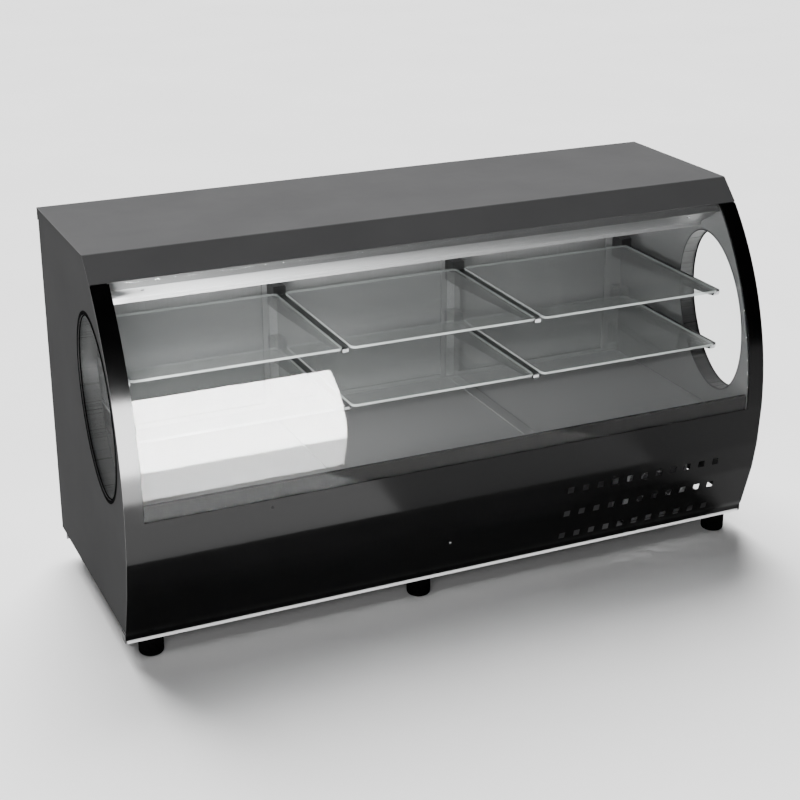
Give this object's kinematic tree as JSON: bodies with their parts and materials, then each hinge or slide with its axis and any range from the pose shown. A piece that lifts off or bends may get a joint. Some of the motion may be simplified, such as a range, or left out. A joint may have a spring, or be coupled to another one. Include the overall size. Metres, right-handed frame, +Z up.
{
  "type": "hot food display case",
  "caption": "Counter-standing hot food display case: curved front glass, leaning oval end windows, glass shelves and sliding rear doors.",
  "frame": {"origin": "middle of the case's box, on the plane under the feet", "axes": "+X along the width to the customer's right-hand end, +Y to the operator's side at the back, +Z up"},
  "size_m": [1.5, 0.5947, 0.8228],
  "materials": {
    "black_metal": "satin powder coat",
    "grey_metal": "satin coated sheet",
    "stainless": "brushed",
    "zinc": "zinc plated",
    "clear_glass": "polished edges",
    "lamp_glass": "frosted white",
    "rubber": "matt",
    "black_plastic": "fine texture",
    "red_plastic": "gloss",
    "aluminium": "anodised"
  },
  "bodies": {
    "case": {"base_tray": "stainless", "bracket_mid_1": "stainless", "bracket_mid_2": "stainless", "bracket_mid_3": "stainless", "bracket_mid_4": "stainless", "bracket_top_1": "stainless", "bracket_top_2": "stainless", "bracket_top_3": "stainless", "bracket_top_4": "stainless", "ceiling_panel": "stainless", "control_plate": "black_metal", "deck_pan_centre": "stainless", "deck_pan_left": "stainless", "deck_pan_right": "stainless", "deck_strip_left": "stainless", "deck_strip_right": "stainless", "end_panel_left": "grey_metal", "end_panel_right": "grey_metal", "fan_frame": "zinc", "foot_front_centre": "rubber", "foot_front_left": "rubber", "foot_front_right": "rubber", "foot_rear_centre": "rubber", "foot_rear_left": "rubber", "foot_rear_right": "rubber", "front_glass": "clear_glass", "front_panel": "black_metal", "front_sill": "black_metal", "lamp_tube": "lamp_glass", "lampholder_left": "black_plastic", "lampholder_right": "black_plastic", "light_canopy": "stainless", "mains_gland": "black_plastic", "rear_frame": "stainless", "rear_panel": "stainless", "shelf_mid_centre": "clear_glass", "shelf_mid_left": "clear_glass", "shelf_mid_right": "clear_glass", "shelf_top_centre": "clear_glass", "shelf_top_left": "clear_glass", "shelf_top_right": "clear_glass", "side_glass_left": "clear_glass", "side_glass_right": "clear_glass", "side_liner_left": "stainless", "side_liner_right": "stainless", "top_cover": "grey_metal", "track_lower": "aluminium", "track_upper": "aluminium", "window_trim_left": "black_plastic", "window_trim_right": "black_plastic"},
    "door_left": {"rear_door_left": "stainless", "door_grip_left": "stainless"},
    "door_centre": {"rear_door_centre": "stainless", "door_grip_centre": "stainless"},
    "door_right": {"rear_door_right": "stainless", "door_grip_right": "stainless"},
    "knob": {"thermostat_knob": "black_plastic"},
    "power_rocker": {"power_switch": "red_plastic"},
    "light_rocker": {"light_switch": "black_plastic"},
    "fan": {"fan_rotor": "black_plastic"}
  },
  "joints": [
    {"name": "door_left_slide", "type": "slide", "parent": "case", "child": "door_left", "axis": [1, 0, 0], "range_m": [0, 0.455]},
    {"name": "door_centre_slide", "type": "slide", "parent": "case", "child": "door_centre", "axis": [1, 0, 0], "range_m": [-0.455, 0.455]},
    {"name": "door_right_slide", "type": "slide", "parent": "case", "child": "door_right", "axis": [-1, 0, 0], "range_m": [0, 0.455]},
    {"name": "thermostat_turn", "type": "hinge", "parent": "case", "child": "knob", "pos_m": [-0.61, 0.2713, 0.15], "axis": [0, 1, 0], "range_deg": [0, 270]},
    {"name": "power_rock", "type": "hinge", "parent": "case", "child": "power_rocker", "pos_m": [-0.53, 0.2695, 0.15], "axis": [1, 0, 0], "range_deg": [-7, 7]},
    {"name": "light_rock", "type": "hinge", "parent": "case", "child": "light_rocker", "pos_m": [-0.485, 0.2695, 0.15], "axis": [1, 0, 0], "range_deg": [-7, 7]},
    {"name": "fan_spin", "type": "hinge", "parent": "case", "child": "fan", "pos_m": [0.545, -0.171, 0.129], "axis": [0, 1, 0], "continuous": true}
  ]
}
